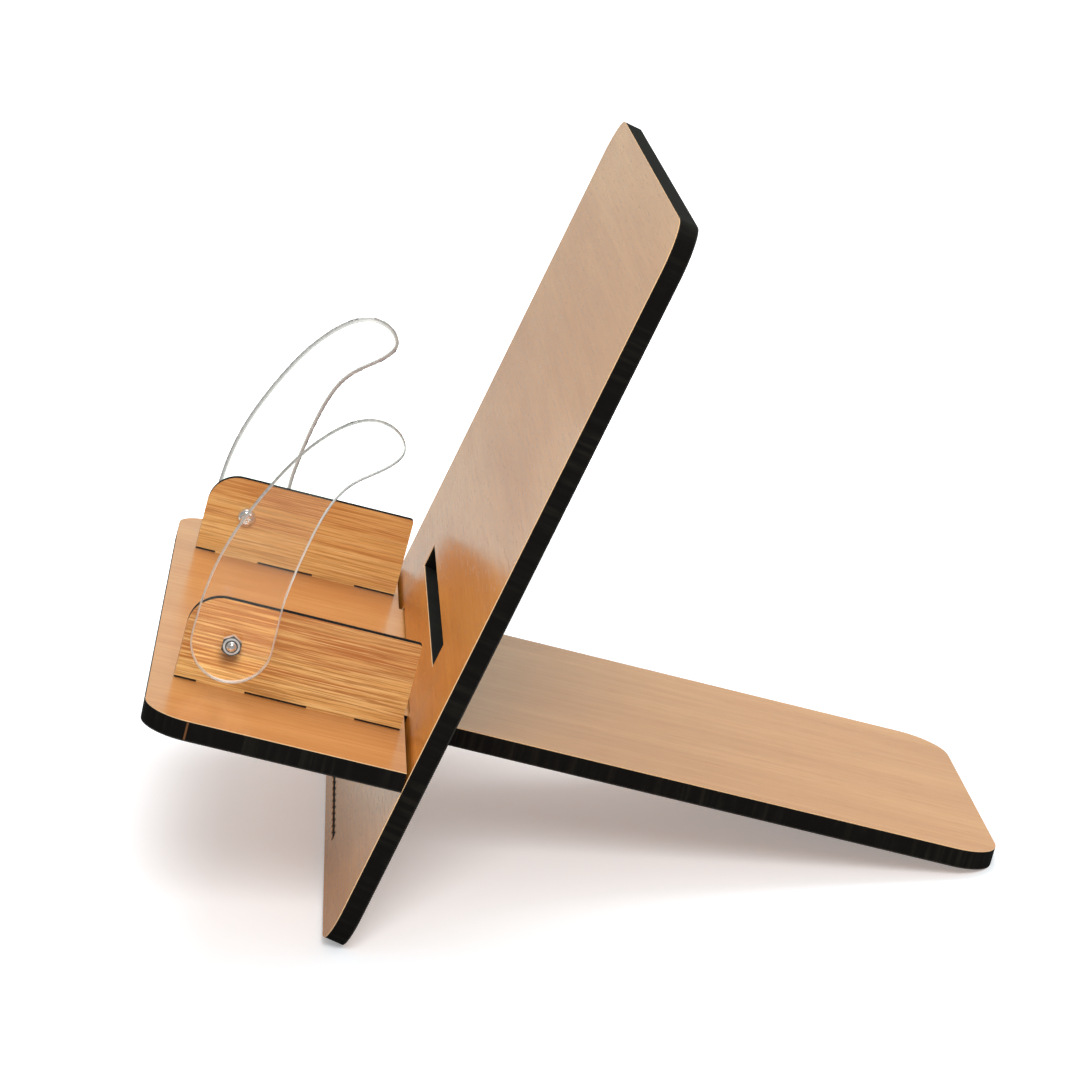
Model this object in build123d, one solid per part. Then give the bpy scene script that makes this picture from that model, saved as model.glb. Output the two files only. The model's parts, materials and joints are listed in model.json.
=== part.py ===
from build123d import *
import os
from math import cos, radians, sin, tan

# Tabletop Quran stand, laser cut from laminated board.
# A leaning back panel carries a sloping T-shaped shelf board, whose tail passes through a slot in the
# panel and props it from behind. Two ear plates stand on the shelf, and a clear page holder turns on
# the outer side of each.
# Frame: +X across the stand, front towards -Y, +Z up, floor at z = 0, centred in x and y.

# ---- Boards ----
board = 6.0                    # full thickness, core and both skins
skin = 0.4                     # printed wood laminate on each face
core = board - 2 * skin

# ---- Back panel ----
panel_width = 229.0
panel_length = 231.0
panel_lean = 63.5              # angle above the floor
panel_corner = 14.0
slot_length = 120.0
slot_height = 7.7
lower_slot = 56.3              # slot centres, measured up the panel from its bottom edge
slot_pitch = 23.0

# ---- Ornament engraved into the front skin: a plain row of lozenges on a thin bar ----
lozenge_count = 11
lozenge_pitch = 6.2
lozenge_length = 5.6
lozenge_height = 3.8
lozenge_centre = 6.6           # above the panel's bottom edge
ornament_bar = 1.8
engraving_depth = 0.25

# ---- Shelf board ----
shelf_width = 232.0
shelf_slope = 15.5             # falls towards the back
shelf_reach = 77.2             # front edge to the line where its top meets the panel
shelf_corner = 13.0
tail_width = 119.2
tail_corner = 15.0
shoulder_gap = 0.05

# ---- Ear plates ----
ear_thickness = 3.0
ear_skin = 0.4
ear_outer_x = 76.9
ear_front = 70.4               # distances in front of the line where shelf and panel meet
ear_rear = 2.7
ear_height = 26.7
ear_front_corner = 10.0
ear_rear_corner = 1.0
ear_lift = 0.6                 # shadow gap between the tabs
tab_length = 14.4
tab_fronts = (63.8, 30.9)      # front end of each tab
tab_depth = 5.7
mortise_clearance = 0.05

# ---- Page holders ----
holder_thickness = 3.0
holder_gap = 0.1               # to the ear on one side and to the nut on the other
pivot_front = 56.5
pivot_height = 14.4
holder_base_radius = 12.0
holder_hole = 3.2

# Edge of the horn, from the front of the round base, up over the tip and down to the rear of the base,
# as (forward, up) from the pivot.
horn = [
    (12.0, 0.0), (9.7, 24.0), (0.7, 48.0), (-11.4, 66.5), (-24.5, 74.2),
    (-32.2, 71.6), (-34.4, 67.0), (-32.4, 63.0), (-22.4, 54.2), (-15.4, 38.5), (-11.9, 16.0), (-12.0, 0.0),
]

# ---- M3 pan head screw and nut ----
screw_diameter = 3.0
screw_length = 10.0
screw_tip = 1.1                # radius that domes the end of the thread
head_diameter = 6.0
head_height = 2.4
head_round = 1.7
recess_length = 3.0            # cross recess
recess_width = 0.7
recess_depth = 1.3
ear_hole = 3.1
nut_flats = 5.5
nut_height = 2.4
nut_hole = 3.06
nut_chamfer = 0.35

# ---- Where things meet ----
tilt = 90 - panel_lean - shelf_slope            # between the shelf and the panel's normal
shelf_on_panel = lower_slot + (board / cos(radians(tilt)) - board * tan(radians(tilt))) / 2
foot_drop = skin + core                         # the core's lower rear corner stands on the floor
panel_foot_z = foot_drop * cos(radians(panel_lean))
meeting_y = shelf_on_panel * cos(radians(panel_lean))
meeting_z = panel_foot_z + shelf_on_panel * sin(radians(panel_lean))
tail_end = (meeting_z - foot_drop * cos(radians(shelf_slope))) / sin(radians(shelf_slope))
shoulder = -board * tan(radians(tilt)) - shoulder_gap

front_y = meeting_y - shelf_reach * cos(radians(shelf_slope)) - board * sin(radians(shelf_slope))
rear_y = meeting_y + tail_end * cos(radians(shelf_slope))
centre_y = (front_y + rear_y) / 2

on_panel = Pos(0, -centre_y, panel_foot_z) * Rot(panel_lean, 0, 0)
on_shelf = Pos(0, meeting_y - centre_y, meeting_z) * Rot(-shelf_slope, 0, 0)


def slab(outline, top, bottom):
    """Solid between two depths below the face on which the flat outline is drawn."""
    return Pos(0, 0, -bottom) * extrude(outline, bottom - top)


def rounded_outline(width, start, end, radius):
    """Rectangle across x and from start to end in y, with all four corners rounded."""
    return Pos(0, (start + end) / 2) * RectangleRounded(width, end - start, radius)


def above_floor(solid):
    """Trim the skins flush with the floor where the board stands on its lower arris."""
    size = 600.0
    return solid - Pos(0, 0, -size / 2) * Box(size, size, size)


def panel_outline():
    """Back panel seen square on, with its bottom edge at y = 0."""
    outline = rounded_outline(panel_width, 0, panel_length, panel_corner)
    for step in range(2):
        outline -= Pos(0, lower_slot + step * slot_pitch) * Rectangle(slot_length, slot_height)
    return outline


def ornament():
    """Row of lozenges threaded on a thin bar, centred across the panel."""
    lozenges = Sketch() + Rectangle((lozenge_count - 1) * lozenge_pitch, ornament_bar)
    for index in range(lozenge_count):
        x = (index - (lozenge_count - 1) / 2) * lozenge_pitch
        half, rise = lozenge_length / 2, lozenge_height / 2
        points = [(x - half, 0), (x, -rise), (x + half, 0), (x, rise)]
        lozenges += make_face(Polyline(*points, close=True))
    return Pos(0, lozenge_centre) * lozenges


def back_panel():
    outline = panel_outline()
    front = slab(outline, 0, skin) - slab(ornament(), -skin, engraving_depth)
    return {
        "back_panel_core": on_panel * slab(outline, skin, skin + core),
        "back_panel_front_skin": on_panel * front,
        "back_panel_rear_skin": above_floor(on_panel * slab(outline, skin + core, board)),
    }


def shelf_outline():
    """T-shaped shelf board, with y measured back from the line where its top meets the panel."""
    shelf = rounded_outline(shelf_width, -shelf_reach, shoulder + 2 * shelf_corner, shelf_corner)
    shelf -= Pos(0, shoulder + shelf_corner) * Rectangle(2 * shelf_width, 2 * shelf_corner)
    tail = rounded_outline(tail_width, shoulder - 2 * tail_corner, tail_end, tail_corner)
    outline = shelf + tail
    for side in (-1, 1):
        for tab_front in tab_fronts:
            mortise = Rectangle(ear_thickness + 2 * mortise_clearance, tab_length + 2 * mortise_clearance)
            outline -= Pos(side * (ear_outer_x - ear_thickness / 2), -tab_front + tab_length / 2) * mortise
    return outline


def shelf_board():
    outline = shelf_outline()
    return {
        "shelf_board_core": on_shelf * slab(outline, skin, skin + core),
        "shelf_board_top_skin": on_shelf * slab(outline, 0, skin),
        "shelf_board_bottom_skin": above_floor(on_shelf * slab(outline, skin + core, board)),
    }


def ear_outline():
    """Ear plate from the side: first coordinate runs back from the meeting line, second runs up."""
    length = ear_front - ear_rear
    plate = Pos(-(ear_front + ear_rear) / 2, (ear_lift + ear_height) / 2)
    outline = plate * Rectangle(length, ear_height - ear_lift)
    top_corners = outline.vertices().group_by(Axis.Y)[-1].sort_by(Axis.X)
    outline = fillet(top_corners[0], ear_front_corner)
    outline = fillet(outline.vertices().group_by(Axis.Y)[-1].sort_by(Axis.X)[-1], ear_rear_corner)
    for tab_front in tab_fronts:
        tab = Rectangle(tab_length, tab_depth + ear_lift)
        outline += Pos(-tab_front + tab_length / 2, (ear_lift - tab_depth) / 2) * tab
    return outline - Pos(-pivot_front, pivot_height) * Circle(ear_hole / 2)


def upright(outline, near_x, far_x):
    """Solid from a side outline, between two distances from the middle of the stand."""
    return extrude(Plane.YZ.offset(near_x) * outline, far_x - near_x)


def ear_plate():
    outline = ear_outline()
    inner_x = ear_outer_x - ear_thickness
    return {
        "ear_plate_core": upright(outline, inner_x + ear_skin, ear_outer_x - ear_skin),
        "ear_plate_inner_skin": upright(outline, inner_x, inner_x + ear_skin),
        "ear_plate_outer_skin": upright(outline, ear_outer_x - ear_skin, ear_outer_x),
    }


def page_holder():
    """Clear horn with a round base about the pivot."""
    edge = Spline(*[(-forward, up) for forward, up in horn], tangents=[(0, 1), (0, -1)])
    base = ThreePointArc((holder_base_radius, 0), (0, -holder_base_radius), (-holder_base_radius, 0))
    outline = make_face([edge, base]) - Circle(holder_hole / 2)
    near_x = ear_outer_x + holder_gap
    return upright(Pos(-pivot_front, pivot_height) * outline, near_x, near_x + holder_thickness)


def along_pivot(solid, x):
    """Stand a solid that was built along +Z on the pivot line, pointing outwards from x."""
    return Pos(x, -pivot_front, pivot_height) * Rot(0, 90, 0) * solid


def pivot_screw():
    """Pan head on the inner face of the ear, with its thread pointing outwards."""
    shank = Pos(0, 0, screw_length / 2) * Cylinder(screw_diameter / 2, screw_length)
    shank = fillet(shank.edges().sort_by(Axis.Z)[-1], screw_tip)
    head = Pos(0, 0, -head_height / 2) * Cylinder(head_diameter / 2, head_height)
    head = fillet(head.edges().group_by(Axis.Z)[0], head_round)
    screw = head + shank
    for turn in (0, 90):
        arm = Box(recess_length, recess_width, recess_depth)
        screw -= Pos(0, 0, -head_height + recess_depth / 2) * Rot(0, 0, turn) * arm
    return along_pivot(screw, ear_outer_x - ear_thickness)


def pivot_nut():
    """Plain hexagon nut on the outer face of the page holder, with its corners chamfered."""
    flats = extrude(RegularPolygon(nut_flats / 2, 6, major_radius=False), nut_height)
    turned = Pos(0, 0, nut_height / 2) * Cylinder(nut_flats / 2 + nut_chamfer, nut_height)
    turned = chamfer(turned.edges().group_by(Axis.Z)[0] + turned.edges().group_by(Axis.Z)[-1], nut_chamfer)
    nut = (flats & turned) - Pos(0, 0, nut_height / 2) * Cylinder(nut_hole / 2, 2 * nut_height)
    return along_pivot(nut, ear_outer_x + 2 * holder_gap + holder_thickness)


def shelf_side():
    """Everything on the right ear; the left one is its mirror image."""
    pieces = ear_plate()
    pieces["page_holder"] = page_holder()
    pieces["pivot_screw"] = pivot_screw()
    pieces["pivot_nut"] = pivot_nut()
    return pieces


def stand():
    pieces = back_panel() | shelf_board()
    for name, solid in shelf_side().items():
        pieces["right_" + name] = on_shelf * solid
        pieces["left_" + name] = on_shelf * mirror(solid, Plane.YZ)
    return pieces


os.makedirs("parts", exist_ok=True)
for name, solid in stand().items():
    export_step(solid, f"parts/{name}.step")
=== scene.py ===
import json
from math import atan2, cos, radians, sin

import bpy
from mathutils import Matrix, Vector


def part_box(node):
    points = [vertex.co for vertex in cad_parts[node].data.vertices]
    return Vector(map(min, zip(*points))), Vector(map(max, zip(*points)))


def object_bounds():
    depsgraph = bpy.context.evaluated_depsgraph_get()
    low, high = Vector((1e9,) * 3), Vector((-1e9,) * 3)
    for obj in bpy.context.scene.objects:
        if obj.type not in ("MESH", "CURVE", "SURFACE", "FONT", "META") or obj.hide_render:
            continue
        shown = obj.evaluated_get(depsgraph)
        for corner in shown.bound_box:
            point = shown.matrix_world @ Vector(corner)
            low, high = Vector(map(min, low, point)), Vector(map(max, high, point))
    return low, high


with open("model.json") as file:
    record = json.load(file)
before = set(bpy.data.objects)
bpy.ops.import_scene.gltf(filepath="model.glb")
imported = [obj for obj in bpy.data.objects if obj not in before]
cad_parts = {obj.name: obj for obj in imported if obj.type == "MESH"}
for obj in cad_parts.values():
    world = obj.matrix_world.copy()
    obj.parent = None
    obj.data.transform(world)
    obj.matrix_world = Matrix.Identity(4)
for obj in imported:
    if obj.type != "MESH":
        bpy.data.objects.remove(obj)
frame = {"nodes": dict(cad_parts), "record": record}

cad_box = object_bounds()
nodes = frame["nodes"]
mounts = {mount["name"]: mount for mount in frame["record"]["mounts"]}
MM = 0.001

# ---- Colours, linear ----
WHITE = (1, 1, 1, 1)
WOOD_LIGHT = (0.58, 0.248, 0.056, 1)
WOOD_DEEP = (0.50, 0.192, 0.037, 1)
SHELF_LIGHT = (0.58, 0.262, 0.080, 1)
SHELF_DEEP = (0.505, 0.207, 0.057, 1)
PANEL_LIGHT = (0.59, 0.212, 0.027, 1)
PANEL_DEEP = (0.51, 0.163, 0.017, 1)
WOOD_PORE = (0.36, 0.125, 0.022, 1)
BAMBOO_PALE = (0.82, 0.53, 0.21, 1)
BAMBOO_GOLD = (0.72, 0.40, 0.125, 1)
BAMBOO_BROWN = (0.40, 0.165, 0.035, 1)
BAMBOO_RED = (0.43, 0.125, 0.020, 1)
# the laminate's pale cut edge, made paler still as a painted highlight
LAMINATE_EDGE_AND_HIGHLIGHT = (0.75, 0.46, 0.23, 1)
FROST_LIGHT = (0.62, 0.58, 0.53, 1)
# shaded copies of the frosted rim's colour, painted on its upper part
FROST_SHADE_GREY = (0.23, 0.23, 0.225, 1)
FROST_PALE_SHADE_GREY = (0.35, 0.35, 0.345, 1)
CHAR = (0.0045, 0.0038, 0.0032, 1)
CHAR_LIGHT = (0.013, 0.011, 0.008, 1)
LASER_MARK = (0.12, 0.05, 0.02, 1)
ZINC = (0.85, 0.84, 0.81, 1)
ZINC_DULL = (0.62, 0.61, 0.58, 1)
THREAD_SHADE = (0.035, 0.032, 0.028, 1)

# ---- Noise sizes, in features per metre: along the grain, across it, out of the face ----
WOOD_BROAD = (5, 42, 1)
WOOD_FIGURE = (11, 190, 1)
WOOD_FINE = (55, 1500, 1)
WOOD_GROOVES = (16, 760, 1)
WOOD_PORES = (75, 1300, 1)
BAMBOO_BANDS = (9, 260, 1)
BAMBOO_STREAKS = (32, 1700, 1)
BAMBOO_PALE_STREAKS = (24, 1200, 1)
BAMBOO_FIBRES = (60, 2600, 1)

# ---- Marks, painted shade and painted highlight on the boards ----
EDGE_FACING = (0.55, 0.75)            # how squarely a sheet's face starts and ends being its cut edge
LAMINATE_TRIM = 0.22                  # depth of the pale part of a sheet's cut edge, mm
TRIM_BLUR = 0.04
ENGRAVED_DEPTHS = (0.04, 0.12)        # an engraving turns from wood to char between these, mm
# how dark the shelf's face is painted under each ear: painted shade for the shaded gap there
SHADE_UNDER_EAR = 0.85
LASER_MARK_ALONG = -24.2 * MM         # brown mark across the shelf's right edge
LASER_MARK_HALF_WIDTHS = (0.38, 0.18)
EAR_ALONG = (-30.4 * MM, 37.3 * MM)   # stretch of the shelf that each ear stands on
CHAR_GLOSS = 0.06
SURFACE_RELIEF = 0.03 * MM

# ---- Page holders: the frosted rim is painted greyer towards the top, as painted shade against the bright backdrop, between these heights ----
FROST_SHADE_HEIGHTS = {"right": (105 * MM, 130 * MM), "left": (75 * MM, 85 * MM)}
FROST_TOP_SHADE = {"right": FROST_SHADE_GREY, "left": FROST_PALE_SHADE_GREY}
RIM_WIDTH = {"right": 0.50 * MM, "left": 1.20 * MM}
ACRYLIC_IOR = 1.40
WELD_REACH = 0.001 * MM
FLAT_WITHIN = 0.01                    # angles in radians
SHARP_BEYOND = 0.6

# ---- Screws and nuts: how metallic they are, and the radii of a nut's painted shade and painted dark reflection, mm ----
SCREW_METAL = 0.85
NUT_METAL = 0.55
COUNTERSINK_SHADE_RADII = (1.95, 1.80)
CHAMFER_REFLECTION_RADII = (2.35, 2.55)


def face_tilt(mount):
    """Turn about X that lays a board's drawing plane onto its face."""
    axis = mounts[mount]["axis"]
    return atan2(-axis[1], axis[2])


BOARDS = {name: (mounts[name]["pos_m"], face_tilt(name)) for name in ("panel_face", "shelf_face")}


# ---- Small helpers for shader nodes ----

def new_material(name):
    """A material with only a Principled shader, and that shader."""
    material = bpy.data.materials.new(name)
    material.use_nodes = True
    return material, material.node_tree.nodes["Principled BSDF"]


def connect(tree, value, socket):
    """Give a socket a value, or a link from another node's output."""
    if isinstance(value, bpy.types.NodeSocket):
        tree.links.new(value, socket)
    else:
        socket.default_value = value


def add(tree, kind, inputs=(), **settings):
    """A shader node with its settings and inputs. An input is a value or another node's output."""
    made = tree.nodes.new(kind)
    for key, value in settings.items():
        setattr(made, key, value)
    for key, value in dict(inputs).items():
        connect(tree, value, made.inputs[key])
    return made


def calc(tree, operation, first, second=0.0):
    return add(tree, "ShaderNodeMath", {0: first, 1: second}, operation=operation).outputs[0]


def plus(tree, first, second):
    return calc(tree, "ADD", first, second)


def minus(tree, first, second):
    return calc(tree, "SUBTRACT", first, second)


def times(tree, first, second):
    return calc(tree, "MULTIPLY", first, second)


def larger(tree, first, second):
    return calc(tree, "MAXIMUM", first, second)


def ramp(tree, value, start, end):
    """0 at start, 1 at end and past it, smooth between. The start may be the larger number."""
    made = add(tree, "ShaderNodeMapRange", {"Value": value, "From Min": start, "From Max": end},
               interpolation_type="SMOOTHSTEP")
    return made.outputs["Result"]


def between(tree, value, limits):
    return times(tree, calc(tree, "GREATER_THAN", value, limits[0]), calc(tree, "LESS_THAN", value, limits[1]))


def mix(tree, factor, first, second):
    """The first colour where the factor is 0, the second where it is 1."""
    made = add(tree, "ShaderNodeMix", data_type="RGBA")
    for index, value in ((0, factor), (6, first), (7, second)):
        connect(tree, value, made.inputs[index])
    return made.outputs[2]


def scaled(tree, vector, scale, offset=(0, 0, 0)):
    return add(tree, "ShaderNodeMapping", {"Vector": vector, "Scale": scale, "Location": offset}).outputs[0]


def noise(tree, vector, detail=3.0, rough=0.5, distort=0.0):
    inputs = {"Vector": vector, "Scale": 1.0, "Detail": detail, "Roughness": rough, "Distortion": distort}
    return add(tree, "ShaderNodeTexNoise", inputs).outputs[0]


def separate(tree, vector):
    return add(tree, "ShaderNodeSeparateXYZ", {0: vector}).outputs


def object_position(tree):
    return add(tree, "ShaderNodeTexCoord").outputs["Object"]


def board_space(tree, board):
    """Position in a board's own drawing plane: x across, y along, z out of its face, in metres."""
    place, tilt = BOARDS[board]
    inputs = {"Vector": object_position(tree), "Location": place, "Rotation": (tilt, 0, 0)}
    return add(tree, "ShaderNodeMapping", inputs, vector_type="TEXTURE").outputs[0]


def facing(tree, direction):
    """How squarely a surface faces along a direction, either way: 1 on a sheet's faces, 0 on its edges."""
    normal = add(tree, "ShaderNodeTexCoord").outputs["Normal"]
    dot = add(tree, "ShaderNodeVectorMath", {0: normal, 1: direction}, operation="DOT_PRODUCT")
    return calc(tree, "ABSOLUTE", dot.outputs["Value"])


def bump(tree, shader, height, distance, strength):
    made = add(tree, "ShaderNodeBump", {"Height": height, "Distance": distance, "Strength": strength})
    tree.links.new(made.outputs[0], shader.inputs["Normal"])


# ---- Materials ----

def grain_vector(tree, board, along):
    """Board coordinates reordered so that x runs with the grain and y across it."""
    space = board_space(tree, board)
    if along == "x":
        return space
    x, y, z = separate(tree, space)
    return add(tree, "ShaderNodeCombineXYZ", {0: y, 1: x, 2: z}).outputs[0]


def wood_laminate(name, board, along, seed, tones=(WOOD_LIGHT, WOOD_DEEP), trim=0.0, shade_ranges=None):
    """Printed wood on the boards: semi-gloss, soft figure, shallow grooves, and fine pores.

    The sheet's cut edge is pale down to the depth of trim, its own laminate made paler by a painted
    highlight, and charred below that. The face carries near-black painted shade in the given ranges, across
    on both sides and along, in the shaded gap under the ears.
    """
    material, shader = new_material(name)
    tree = material.node_tree
    grain = grain_vector(tree, board, along)
    shift = (seed * 3.1, seed * 7.7, seed)
    broad = noise(tree, scaled(tree, grain, WOOD_BROAD, shift), 3, 0.5, 0.8)
    figure = noise(tree, scaled(tree, grain, WOOD_FIGURE, shift), 4, 0.55, 0.4)
    fine = noise(tree, scaled(tree, grain, WOOD_FINE, shift), 3, 0.6)
    groove = noise(tree, scaled(tree, grain, WOOD_GROOVES, shift), 2, 0.4)
    pores = ramp(tree, noise(tree, scaled(tree, grain, WOOD_PORES, shift), 2, 0.5), 0.60, 0.70)
    tone = plus(tree, times(tree, broad, 0.65), times(tree, figure, 0.35))
    colour = mix(tree, ramp(tree, tone, 0.36, 0.64), *tones)
    for shade in (times(tree, ramp(tree, fine, 0.45, 0.75), 0.18),
                  times(tree, pores, 0.30),
                  times(tree, ramp(tree, groove, 0.62, 0.42), 0.16)):
        colour = mix(tree, shade, colour, WOOD_PORE)

    out_of_face = Matrix.Rotation(BOARDS[board][1], 3, "X") @ Vector((0, 0, 1))
    on_face = ramp(tree, facing(tree, out_of_face), *EDGE_FACING)
    across_at, along_at, height_at = separate(tree, board_space(tree, board))
    charred = ramp(tree, height_at, -(trim - TRIM_BLUR) * MM, -(trim + TRIM_BLUR) * MM)
    # the pale cut edge is the laminate's own edge plus a painted highlight
    cut = mix(tree, charred, LAMINATE_EDGE_AND_HIGHLIGHT, CHAR_LIGHT)
    char_and_shade = 0.0
    # painted shade: the shelf's face is painted near-black under each ear, in the shaded gap there; an
    # engraving's char is real
    if shade_ranges:
        under_ears = times(tree, between(tree, calc(tree, "ABSOLUTE", across_at), shade_ranges[0]),
                           between(tree, along_at, shade_ranges[1]))
        char_and_shade = times(tree, under_ears, SHADE_UNDER_EAR)
    elif trim:
        char_and_shade = ramp(tree, height_at, *(-depth * MM for depth in ENGRAVED_DEPTHS))
    colour = mix(tree, on_face, cut, mix(tree, char_and_shade, colour, CHAR))
    tree.links.new(colour, shader.inputs["Base Color"])

    gloss = plus(tree, times(tree, fine, 0.10), times(tree, broad, 0.10))
    dull = larger(tree, char_and_shade, minus(tree, 1.0, on_face))
    tree.links.new(larger(tree, plus(tree, gloss, 0.13), dull), shader.inputs["Roughness"])
    relief = plus(tree, minus(tree, times(tree, fine, 0.6), pores), times(tree, groove, 2.2))
    bump(tree, shader, relief, SURFACE_RELIEF, 0.9)
    return material


def bamboo_laminate(name, seed, contrast):
    """Streaked bamboo on the ears, running front to back, with red-brown fibre bundles towards the top."""
    material, shader = new_material(name)
    tree = material.node_tree
    _, along_at, height_at = separate(tree, board_space(tree, "shelf_face"))
    grain = add(tree, "ShaderNodeCombineXYZ", {0: along_at, 1: height_at, 2: seed}).outputs[0]
    shift = (seed * 1.7, seed * 5.3, 0)
    band = noise(tree, scaled(tree, grain, BAMBOO_BANDS, shift), 3, 0.5, 0.2)
    streak = noise(tree, scaled(tree, grain, BAMBOO_STREAKS, shift), 4, 0.62, 0.1)
    pale = noise(tree, scaled(tree, grain, BAMBOO_PALE_STREAKS, (seed, seed * 2.3, 0)), 3, 0.6)
    fibre = noise(tree, scaled(tree, grain, BAMBOO_FIBRES, shift), 3, 0.6)
    high = ramp(tree, height_at, 9 * MM, 25 * MM)
    bundle = times(tree, ramp(tree, plus(tree, band, times(tree, high, 0.13)), 0.50, 0.64),
                   ramp(tree, streak, 0.40, 0.54))
    bright = times(tree, ramp(tree, pale, 0.46, 0.60), minus(tree, 0.85, times(tree, high, 0.45)))
    colour = mix(tree, bright, BAMBOO_GOLD, BAMBOO_PALE)
    for factor, strength, shade in ((ramp(tree, streak, 0.51, 0.56), 0.75, BAMBOO_BROWN),
                                    (bundle, 0.78, BAMBOO_RED),
                                    (ramp(tree, fibre, 0.50, 0.60), 0.55, BAMBOO_BROWN),
                                    (high, 0.22, BAMBOO_RED)):
        colour = mix(tree, times(tree, factor, strength * contrast), colour, shade)
    on_face = ramp(tree, facing(tree, (1, 0, 0)), *EDGE_FACING)
    tree.links.new(mix(tree, on_face, CHAR, colour), shader.inputs["Base Color"])
    satin = plus(tree, times(tree, streak, 0.25), 0.28)
    tree.links.new(larger(tree, satin, minus(tree, 1.0, on_face)), shader.inputs["Roughness"])
    bump(tree, shader, minus(tree, times(tree, fibre, 0.4), streak), SURFACE_RELIEF, 0.6)
    return material


def charred_board(name, board, laser_mark_at=None):
    """Fibreboard with near-black laser-cut edges and faint scorch lines across the thickness."""
    material, shader = new_material(name)
    tree = material.node_tree
    space = board_space(tree, board)
    scorch = noise(tree, scaled(tree, space, (420, 420, 25)), 4, 0.6)
    cloud = noise(tree, scaled(tree, space, (60, 60, 60)), 3, 0.5)
    lines = times(tree, ramp(tree, scorch, 0.42, 0.72), ramp(tree, cloud, 0.35, 0.65))
    colour = mix(tree, lines, CHAR, CHAR_LIGHT)
    if laser_mark_at:
        across_at, along_at, _ = separate(tree, space)
        offset = calc(tree, "ABSOLUTE", minus(tree, along_at, laser_mark_at))
        mark = ramp(tree, offset, *(half * MM for half in LASER_MARK_HALF_WIDTHS))
        mark = times(tree, mark, calc(tree, "GREATER_THAN", across_at, 0.0))
        colour = mix(tree, mark, colour, LASER_MARK)
    tree.links.new(colour, shader.inputs["Base Color"])
    shader.inputs["Specular IOR Level"].default_value = CHAR_GLOSS
    tree.links.new(plus(tree, times(tree, scorch, 0.2), 0.75), shader.inputs["Roughness"])
    bump(tree, shader, scorch, SURFACE_RELIEF, 0.6)
    return material


def clear_acrylic(name, grey, heights):
    """Clear polished faces, and frosted where the laser cut the edge: cloudier higher up, and painted greyer
    there as painted shade.
    """
    material, shader = new_material(name)
    tree = material.node_tree
    polished = ramp(tree, facing(tree, (1, 0, 0)), 0.90, 0.99)
    frosted = minus(tree, 1.0, polished)
    position = object_position(tree)
    scallop = noise(tree, scaled(tree, position, (60, 900, 900)), 2)
    high = ramp(tree, separate(tree, position)[2], *heights)
    # painted shade: the frosted rim turns grey higher up, where it stands against the bright backdrop
    edge = mix(tree, high, FROST_LIGHT, grey)
    edge = mix(tree, times(tree, ramp(tree, scallop, 0.35, 0.7), 0.3), edge, FROST_LIGHT)
    tree.links.new(mix(tree, polished, edge, WHITE), shader.inputs["Base Color"])
    cloudy = plus(tree, times(tree, high, 0.40), 0.45)
    tree.links.new(minus(tree, 1.0, times(tree, cloudy, frosted)), shader.inputs["Transmission Weight"])
    tree.links.new(times(tree, frosted, 0.35), shader.inputs["Roughness"])
    shader.inputs["IOR"].default_value = ACRYLIC_IOR
    return material


def plated_steel(name, metal, nut=None):
    """Bright zinc plating with fine turning marks and a little tarnish.

    A nut, given by its node's name, gets painted shade around its thread and a painted dark reflection on the
    chamfer of its corners.
    """
    material, shader = new_material(name)
    tree = material.node_tree
    position = object_position(tree)
    marks = noise(tree, scaled(tree, position, (9000, 900, 900)), 2)
    cloud = noise(tree, scaled(tree, position, (700, 700, 700)), 3)
    colour = mix(tree, ramp(tree, cloud, 0.4, 0.8), ZINC, ZINC_DULL)
    if nut:
        low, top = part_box(nut)
        middle = (0, (low[1] + top[1]) / 2, (low[2] + top[2]) / 2)
        flat = add(tree, "ShaderNodeVectorMath", {0: position, 1: (0, 1, 1)}, operation="MULTIPLY").outputs[0]
        radius = add(tree, "ShaderNodeVectorMath", {0: flat, 1: middle}, operation="DISTANCE").outputs["Value"]
        # painted shade in the countersink round the thread, and a painted dark reflection on the corner chamfer
        inner = ramp(tree, radius, *(edge * MM for edge in COUNTERSINK_SHADE_RADII))
        outer = times(tree, ramp(tree, radius, *(edge * MM for edge in CHAMFER_REFLECTION_RADII)),
                      ramp(tree, facing(tree, (1, 0, 0)), 0.2, 0.4))
        colour = mix(tree, times(tree, larger(tree, inner, outer), 0.85), colour, THREAD_SHADE)
    tree.links.new(colour, shader.inputs["Base Color"])
    shader.inputs["Metallic"].default_value = metal
    tree.links.new(plus(tree, times(tree, cloud, 0.16), 0.10), shader.inputs["Roughness"])
    bump(tree, shader, marks, 0.006 * MM, 0.4)
    return material


def dress(node, material):
    """Give a CAD node one finished material."""
    mesh = nodes[node].data
    mesh.materials.clear()
    mesh.materials.append(material)


def soften(node, width):
    """Ease the sharp edges of a CAD node so that they catch the light.

    The CAD mesh has split corners and cut-up flats, so it is joined and its flats are merged first.
    """
    piece = nodes[node]
    piece.modifiers.new("weld", "WELD").merge_threshold = WELD_REACH
    merge = piece.modifiers.new("merge_flat", "DECIMATE")
    merge.decimate_type = "DISSOLVE"
    merge.angle_limit = FLAT_WITHIN
    edge = piece.modifiers.new("eased_edges", "BEVEL")
    edge.width = width
    edge.segments = 2
    edge.use_clamp_overlap = False
    edge.limit_method = "ANGLE"
    edge.angle_limit = SHARP_BEYOND


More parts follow.
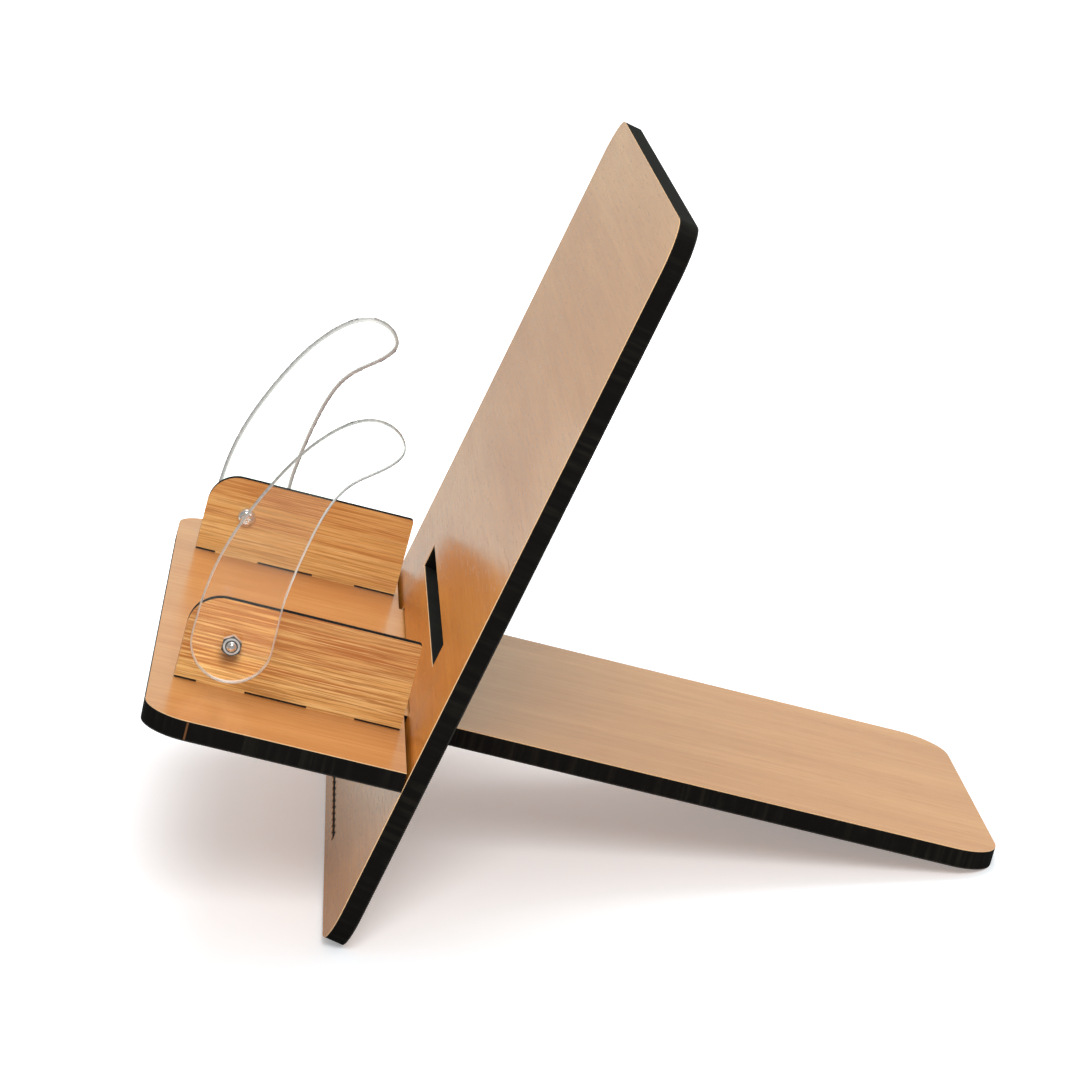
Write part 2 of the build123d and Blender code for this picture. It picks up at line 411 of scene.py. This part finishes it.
def dress_boards():
    ear_across = (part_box("right_ear_plate_inner_skin")[0][0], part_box("right_ear_plate_outer_skin")[1][0])
    panel_tones = (PANEL_LIGHT, PANEL_DEEP)
    shelf_tones = (SHELF_LIGHT, SHELF_DEEP)
    under_ears = (ear_across, EAR_ALONG)
    finishes = {
        "back_panel_core": charred_board("charred_panel", "panel_face"),
        "back_panel_front_skin": wood_laminate("panel_laminate", "panel_face", "x", 0.0, panel_tones,
                                               LAMINATE_TRIM),
        "back_panel_rear_skin": wood_laminate("panel_rear_laminate", "panel_face", "x", 5.0),
        "shelf_board_core": charred_board("charred_shelf", "shelf_face", LASER_MARK_ALONG),
        "shelf_board_top_skin": wood_laminate("shelf_laminate", "shelf_face", "y", 2.0, shelf_tones,
                                              LAMINATE_TRIM, under_ears),
        "shelf_board_bottom_skin": wood_laminate("shelf_bottom_laminate", "shelf_face", "y", 3.0),
    }
    for node, material in finishes.items():
        dress(node, material)


def dress_ears():
    """Ears, page holders, screws and nuts. The left ear's bamboo is calmer than the right one's."""
    ear_core = charred_board("charred_ear", "shelf_face")
    screw_steel = plated_steel("plated_steel", SCREW_METAL)
    for side, seed, contrast in (("right", 1.0, 1.0), ("left", 4.0, 0.6)):
        bamboo = bamboo_laminate(side + "_bamboo", seed, contrast)
        dress(side + "_ear_plate_core", ear_core)
        dress(side + "_ear_plate_inner_skin", bamboo)
        dress(side + "_ear_plate_outer_skin", bamboo)
        dress(side + "_page_holder", clear_acrylic(side + "_acrylic", FROST_TOP_SHADE[side], FROST_SHADE_HEIGHTS[side]))
        dress(side + "_pivot_screw", screw_steel)
        dress(side + "_pivot_nut", plated_steel(side + "_nut_steel", NUT_METAL, side + "_pivot_nut"))
        soften(side + "_page_holder", RIM_WIDTH[side])
        nodes[side + "_page_holder"].visible_shadow = False


# ---- Camera, light and floor ----

CAMERA_PLACE = Vector((1.07643, -0.06164, 0.36632))
CAMERA_YAW = 2.799        # turned from -X towards +Y, degrees
CAMERA_PITCH = -14.237
CAMERA_ROLL = 0.506
SENSOR_WIDTH = 36.0
FOCAL_LENGTH = 119.27

# Each light: place, what it points at, diameter, power.
KEY_LIGHT = ((1.0, 0.05, 0.80), (0, 0, 0.08), 0.5, 8.8)
TOP_LIGHT = ((-0.45, 0.0, 1.25), (0, 0, 0.05), 0.9, 8.8)

# The room on each side of the stand, as it lights the object and as the object mirrors it.
NEAR_ROOM = ((0.50, 0.50, 0.50, 1), (0.28, 0.28, 0.28, 1))
FAR_ROOM = ((0.85, 0.85, 0.85, 1), (0.81, 0.93, 0.81, 1))
FLOOR_COLOUR = (0.88, 0.92, 0.95, 1)
FLOOR_MIRRORED = ((0.52, 0.57, 0.52, 1), (0.20, 0.20, 0.20, 1))     # far side, near side
FLOOR_GLOW = WHITE
FLOOR_GLOW_MIRRORED = (0.88, 1.0, 0.93, 1)
FLOOR_SIZE = 12
SWEEP_START, SWEEP_END = 0.15, 0.6    # distances over which the floor brightens into the sweep
SWEEP_LOW, SWEEP_RISE = 0.27, 0.7
FAR_FLOOR_GLOW = 0.28


def place_camera():
    yaw, pitch, roll = radians(CAMERA_YAW), radians(CAMERA_PITCH), radians(CAMERA_ROLL)
    forward = Vector((-cos(yaw) * cos(pitch), sin(yaw) * cos(pitch), sin(pitch)))
    level = forward.cross(Vector((0, 0, 1))).normalized()
    down = forward.cross(level)
    right = cos(roll) * level + sin(roll) * down
    up = sin(roll) * level - cos(roll) * down
    data = bpy.data.cameras.new("camera")
    data.sensor_width = SENSOR_WIDTH
    data.lens = FOCAL_LENGTH
    data.clip_start = 0.01
    camera = bpy.data.objects.new("camera", data)
    turn = Matrix((right, up, -forward)).transposed()
    camera.matrix_world = Matrix.Translation(CAMERA_PLACE) @ turn.to_4x4()
    bpy.context.scene.collection.objects.link(camera)
    bpy.context.scene.camera = camera


def area_light(name, place, aim, size, power):
    data = bpy.data.lights.new(name, "AREA")
    data.shape = "DISK"
    data.size = size
    data.energy = power
    lamp = bpy.data.objects.new(name, data)
    lamp.location = place
    lamp.rotation_euler = (Vector(aim) - Vector(place)).to_track_quat("-Z", "Y").to_euler()
    bpy.context.scene.collection.objects.link(lamp)


def seen_directly(tree, path):
    """1 for what the camera sees, straight or through acrylic."""
    undiffused = calc(tree, "LESS_THAN", path["Diffuse Depth"], 0.5)
    return larger(tree, path["Is Camera Ray"], times(tree, path["Is Transmission Ray"], undiffused))


def light_studio():
    """White sweep, a soft key from above, and a darker room behind the camera for the metal and acrylic."""
    world = bpy.data.worlds.new("studio")
    bpy.context.scene.world = world
    world.use_nodes = True
    tree = world.node_tree
    background = tree.nodes["Background"]
    x, y, _ = separate(tree, add(tree, "ShaderNodeTexCoord").outputs["Generated"])
    path = add(tree, "ShaderNodeLightPath").outputs
    near_side = mix(tree, path["Is Glossy Ray"], *NEAR_ROOM)
    far_side = mix(tree, path["Is Glossy Ray"], *FAR_ROOM)
    surroundings = mix(tree, ramp(tree, x, 0.2, -0.9), near_side, far_side)
    surroundings = mix(tree, ramp(tree, y, -0.3, -0.8), surroundings, near_side)
    tree.links.new(mix(tree, seen_directly(tree, path), surroundings, WHITE), background.inputs["Color"])
    background.inputs["Strength"].default_value = 1.0
    area_light("key", *KEY_LIGHT)
    area_light("top", *TOP_LIGHT)


def lay_floor():
    """Pale floor that runs into the white sweep, and is darker where metal and acrylic mirror the near side."""
    bpy.ops.mesh.primitive_plane_add(size=FLOOR_SIZE, location=(0, 0, cad_box[0][2]))
    floor = bpy.context.object
    floor.name = "floor"
    material, shader = new_material("pale_floor")
    tree = material.node_tree
    place = object_position(tree)
    distance = add(tree, "ShaderNodeVectorMath", {0: place}, operation="LENGTH").outputs["Value"]
    near_side = ramp(tree, separate(tree, place)[0], -0.1, 0.25)
    path = add(tree, "ShaderNodeLightPath").outputs
    mirrored = mix(tree, near_side, *FLOOR_MIRRORED)
    tree.links.new(mix(tree, path["Is Glossy Ray"], FLOOR_COLOUR, mirrored), shader.inputs["Base Color"])
    shader.inputs["Roughness"].default_value = 0.9
    shader.inputs["Specular IOR Level"].default_value = 0.0
    tint = mix(tree, path["Is Glossy Ray"], FLOOR_GLOW, FLOOR_GLOW_MIRRORED)
    tree.links.new(tint, shader.inputs["Emission Color"])
    sweep = plus(tree, times(tree, ramp(tree, distance, SWEEP_START, SWEEP_END), SWEEP_RISE), SWEEP_LOW)
    far_side = times(tree, path["Is Glossy Ray"], minus(tree, 1.0, near_side))
    glow = plus(tree, times(tree, seen_directly(tree, path), sweep), times(tree, far_side, FAR_FLOOR_GLOW))
    tree.links.new(glow, shader.inputs["Emission Strength"])
    floor.data.materials.append(material)


bpy.context.scene.view_settings.view_transform = "Standard"
place_camera()
light_studio()
lay_floor()
dress_boards()
dress_ears()
